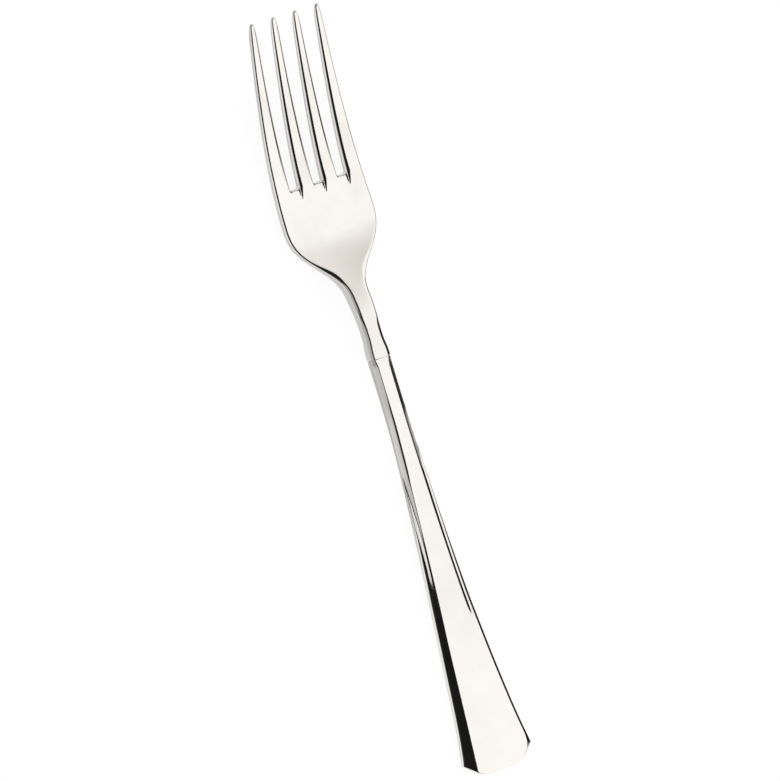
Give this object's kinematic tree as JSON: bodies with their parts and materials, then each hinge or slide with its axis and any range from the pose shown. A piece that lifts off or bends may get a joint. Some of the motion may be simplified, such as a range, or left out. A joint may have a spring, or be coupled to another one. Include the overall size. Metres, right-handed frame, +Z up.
{
  "type": "serving fork",
  "caption": "Polished steel serving fork with long tapering tines, a shallow palm, a slim neck and a faceted hollow handle that flares to a butt with cut corners.",
  "frame": {"origin": "on the table plane, under the middle of the fork's length and width as it lies on its back", "axes": "+Y along the fork from the butt to the tine tips, +Z up from the table to the front face, +X across the tines"},
  "size_m": [0.0286, 0.231, 0.0194],
  "materials": {
    "head_steel": "stainless steel, mirror polished",
    "shell_steel": "stainless sheet, mirror polished",
    "filler": "hard handle filler, matte",
    "braze": "braze, ground flush"
  },
  "bodies": {
    "root": {"fork_head": "head_steel", "handle_front_shell": "shell_steel", "handle_back_shell": "shell_steel", "handle_filler": "filler", "seam_braze": "braze", "joint_braze": "braze"}
  },
  "joints": []
}
